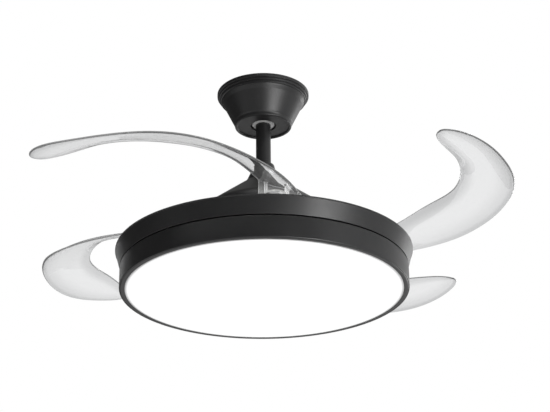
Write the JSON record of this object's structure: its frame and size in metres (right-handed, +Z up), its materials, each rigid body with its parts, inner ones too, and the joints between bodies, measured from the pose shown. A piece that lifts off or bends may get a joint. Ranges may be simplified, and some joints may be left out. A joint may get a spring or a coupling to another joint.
{
  "type": "retractable blade ceiling fan with lamp",
  "caption": "Ceiling fan with a round flat lamp, clear crescent blades that fold in over a black tray, a short rod and a conical ceiling canopy.",
  "frame": {"origin": "centre of the two ceiling slots, on the fan's axis in the ceiling plane", "axes": "+Z up out of the ceiling plate, +X along the line of the two ceiling slots, the pictured side faces -Y"},
  "size_m": [0.822, 0.822, 0.385],
  "materials": {
    "black_metal": "satin black powder coat",
    "bezel_metal": "satin black paint on a spun ring",
    "black_screw": "black oxide",
    "zinc_plate": "bright zinc plate",
    "steel": "machined",
    "screw_steel": "nickel plated",
    "bearing_steel": "ground",
    "stator_steel": "stacked sheet steel",
    "copper_wire": "enamelled wire",
    "magnet_ferrite": "sintered",
    "motor_aluminium": "die cast",
    "black_plastic": "moulded",
    "hub_zinc": "die-cast zinc, bead blasted",
    "ball_nylon": "moulded light grey nylon",
    "gear_plastic": "moulded gear plastic",
    "bush_plastic": "natural bearing plastic",
    "ivory_plastic": "moulded",
    "driver_case": "moulded",
    "cable_sheath": "flexible sheath",
    "stop_rubber": "soft",
    "board_white": "white lacquered board",
    "led_phosphor": "phosphor dots",
    "clear_acrylic": "clear polished acrylic",
    "opal": "satin opal, lit from behind"
  },
  "bodies": {
    "ceiling": {"hanging_bracket": "zinc_plate", "canopy": "black_metal", "canopy_screws": "black_screw", "receiver_box": "black_plastic", "terminal_block": "ivory_plastic"},
    "hanging": {"hanger_ball": "ball_nylon", "ball_pin": "steel", "downrod": "black_metal", "coupling_cover": "black_metal", "yoke": "steel", "yoke_pin": "steel", "cotter_pin": "zinc_plate", "set_screws": "steel", "motor_cover": "black_metal", "cover_screws": "zinc_plate", "motor_shaft": "steel", "stator_core": "stator_steel", "stator_windings": "copper_wire", "bearing_inner_rings": "bearing_steel", "bearing_balls": "bearing_steel", "supply_cable": "cable_sheath", "lamp_hub": "steel", "shaft_nut": "zinc_plate", "lamp_chassis": "black_metal", "hub_screws": "zinc_plate", "bezel_ring": "bezel_metal", "diffuser_clips": "zinc_plate", "led_board": "board_white", "led_chips": "led_phosphor", "board_screws": "zinc_plate", "led_driver": "driver_case"},
    "rotor": {"motor_case_lower": "motor_aluminium", "motor_case_upper": "motor_aluminium", "case_screws": "zinc_plate", "magnet_ring": "magnet_ferrite", "bearing_outer_rings": "bearing_steel", "blade_tray": "black_metal", "tray_screws": "zinc_plate", "pivot_bushes": "bush_plastic", "return_springs": "zinc_plate", "ring_guides": "bush_plastic", "ring_stops": "stop_rubber"},
    "sync": {"sync_ring": "gear_plastic"},
    "blade_arm_1": {"blade_1": "clear_acrylic", "blade_hub_1": "hub_zinc", "blade_gear_1": "gear_plastic", "blade_screws_1": "screw_steel"},
    "blade_arm_2": {"blade_2": "clear_acrylic", "blade_hub_2": "hub_zinc", "blade_gear_2": "gear_plastic", "blade_screws_2": "screw_steel"},
    "blade_arm_3": {"blade_3": "clear_acrylic", "blade_hub_3": "hub_zinc", "blade_gear_3": "gear_plastic", "blade_screws_3": "screw_steel"},
    "blade_arm_4": {"blade_4": "clear_acrylic", "blade_hub_4": "hub_zinc", "blade_gear_4": "gear_plastic", "blade_screws_4": "screw_steel"},
    "cover": {"diffuser": "opal"}
  },
  "joints": [
    {"name": "hanger_tilt", "type": "hinge", "parent": "ceiling", "child": "hanging", "pos_m": [0, 0, -0.044], "axis": [1, 0, 0], "range_deg": [-15, 15]},
    {"name": "rotor_spin", "type": "hinge", "parent": "hanging", "child": "rotor", "pos_m": [0, 0, -0.275], "axis": [0, 0, 1], "continuous": true},
    {"name": "sync_turn", "type": "hinge", "parent": "rotor", "child": "sync", "pos_m": [0, 0, -0.3298], "axis": [0, 0, 1], "range_deg": [0, 17.23]},
    {"name": "blade_fold_1", "type": "hinge", "parent": "rotor", "child": "blade_arm_1", "pos_m": [0.20712, 0.02396, -0.3133], "axis": [0, 0, 1], "range_deg": [-71.5, 0]},
    {"name": "blade_fold_2", "type": "hinge", "parent": "rotor", "child": "blade_arm_2", "pos_m": [-0.02396, 0.20712, -0.3133], "axis": [0, 0, 1], "range_deg": [-71.5, 0]},
    {"name": "blade_fold_3", "type": "hinge", "parent": "rotor", "child": "blade_arm_3", "pos_m": [-0.20712, -0.02396, -0.3133], "axis": [0, 0, 1], "range_deg": [-71.5, 0]},
    {"name": "blade_fold_4", "type": "hinge", "parent": "rotor", "child": "blade_arm_4", "pos_m": [0.02396, -0.20712, -0.3133], "axis": [0, 0, 1], "range_deg": [-71.5, 0]},
    {"name": "diffuser_twist", "type": "hinge", "parent": "hanging", "child": "cover", "pos_m": [0, 0, -0.385], "axis": [0, 0, 1], "range_deg": [0, 16]}
  ],
  "couplings": [
    {"joint": "blade_fold_1", "follows": "sync_turn", "ratio": -4.1481},
    {"joint": "blade_fold_2", "follows": "sync_turn", "ratio": -4.1481},
    {"joint": "blade_fold_3", "follows": "sync_turn", "ratio": -4.1481},
    {"joint": "blade_fold_4", "follows": "sync_turn", "ratio": -4.1481}
  ]
}
